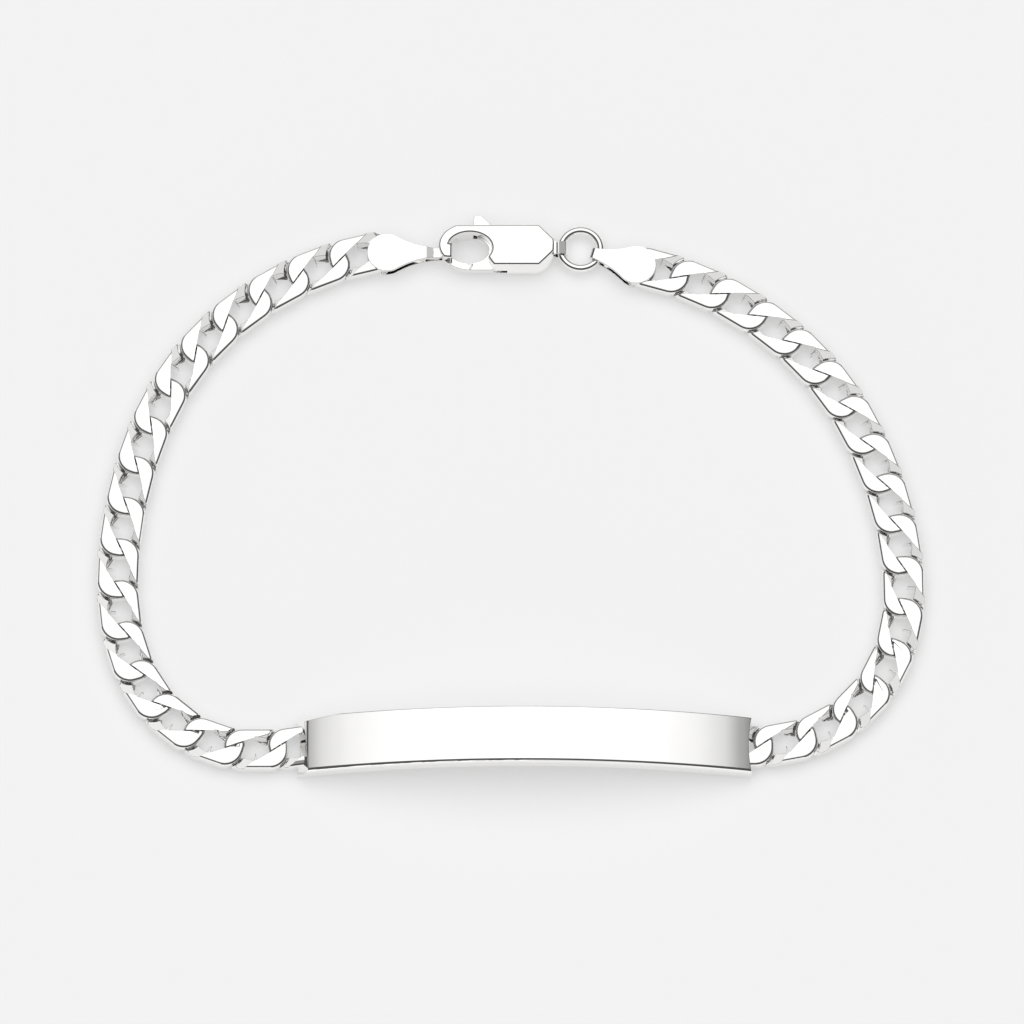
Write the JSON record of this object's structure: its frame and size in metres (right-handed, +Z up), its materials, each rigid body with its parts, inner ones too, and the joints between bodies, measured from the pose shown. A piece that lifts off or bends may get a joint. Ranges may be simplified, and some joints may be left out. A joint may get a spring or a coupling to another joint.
{
  "type": "curb chain identity bracelet",
  "caption": "Closed flat curb chain bracelet with an arched plain identity plate and a fastened lobster clasp, lying flat as a loop.",
  "frame": {"origin": "bottom centre of the bounding box: the surface that the bracelet lies on, at the middle of its loop", "axes": "+X along the identity plate, to the right as the picture shows it; +Y from the plate towards the clasp; +Z up, the way the wrist goes through the loop"},
  "size_m": [0.0829, 0.0588, 0.0055],
  "materials": {
    "silver": "polished"
  },
  "bodies": {
    "bracelet": {"id_plate": "silver", "end_tag_left": "silver", "end_tag_right": "silver", "jump_ring": "silver", "clasp_body": "silver", "link_left_01": "silver", "link_left_02": "silver", "link_left_03": "silver", "link_left_04": "silver", "link_left_05": "silver", "link_left_06": "silver", "link_left_07": "silver", "link_left_08": "silver", "link_left_09": "silver", "link_left_10": "silver", "link_left_11": "silver", "link_left_12": "silver", "link_left_13": "silver", "link_left_14": "silver", "link_left_15": "silver", "link_left_16": "silver", "link_right_01": "silver", "link_right_02": "silver", "link_right_03": "silver", "link_right_04": "silver", "link_right_05": "silver", "link_right_06": "silver", "link_right_07": "silver", "link_right_08": "silver", "link_right_09": "silver", "link_right_10": "silver", "link_right_11": "silver", "link_right_12": "silver", "link_right_13": "silver", "link_right_14": "silver", "link_right_15": "silver"},
    "lever": {"clasp_lever": "silver"}
  },
  "joints": [
    {"name": "lever_hinge", "type": "hinge", "parent": "bracelet", "child": "lever", "pos_m": [-0.00157, 0.025, 0.00115], "axis": [0, 0, -1], "range_deg": [0, 20], "stiffness_Nm_per_rad": 0.004, "springref_deg": -20.05}
  ]
}
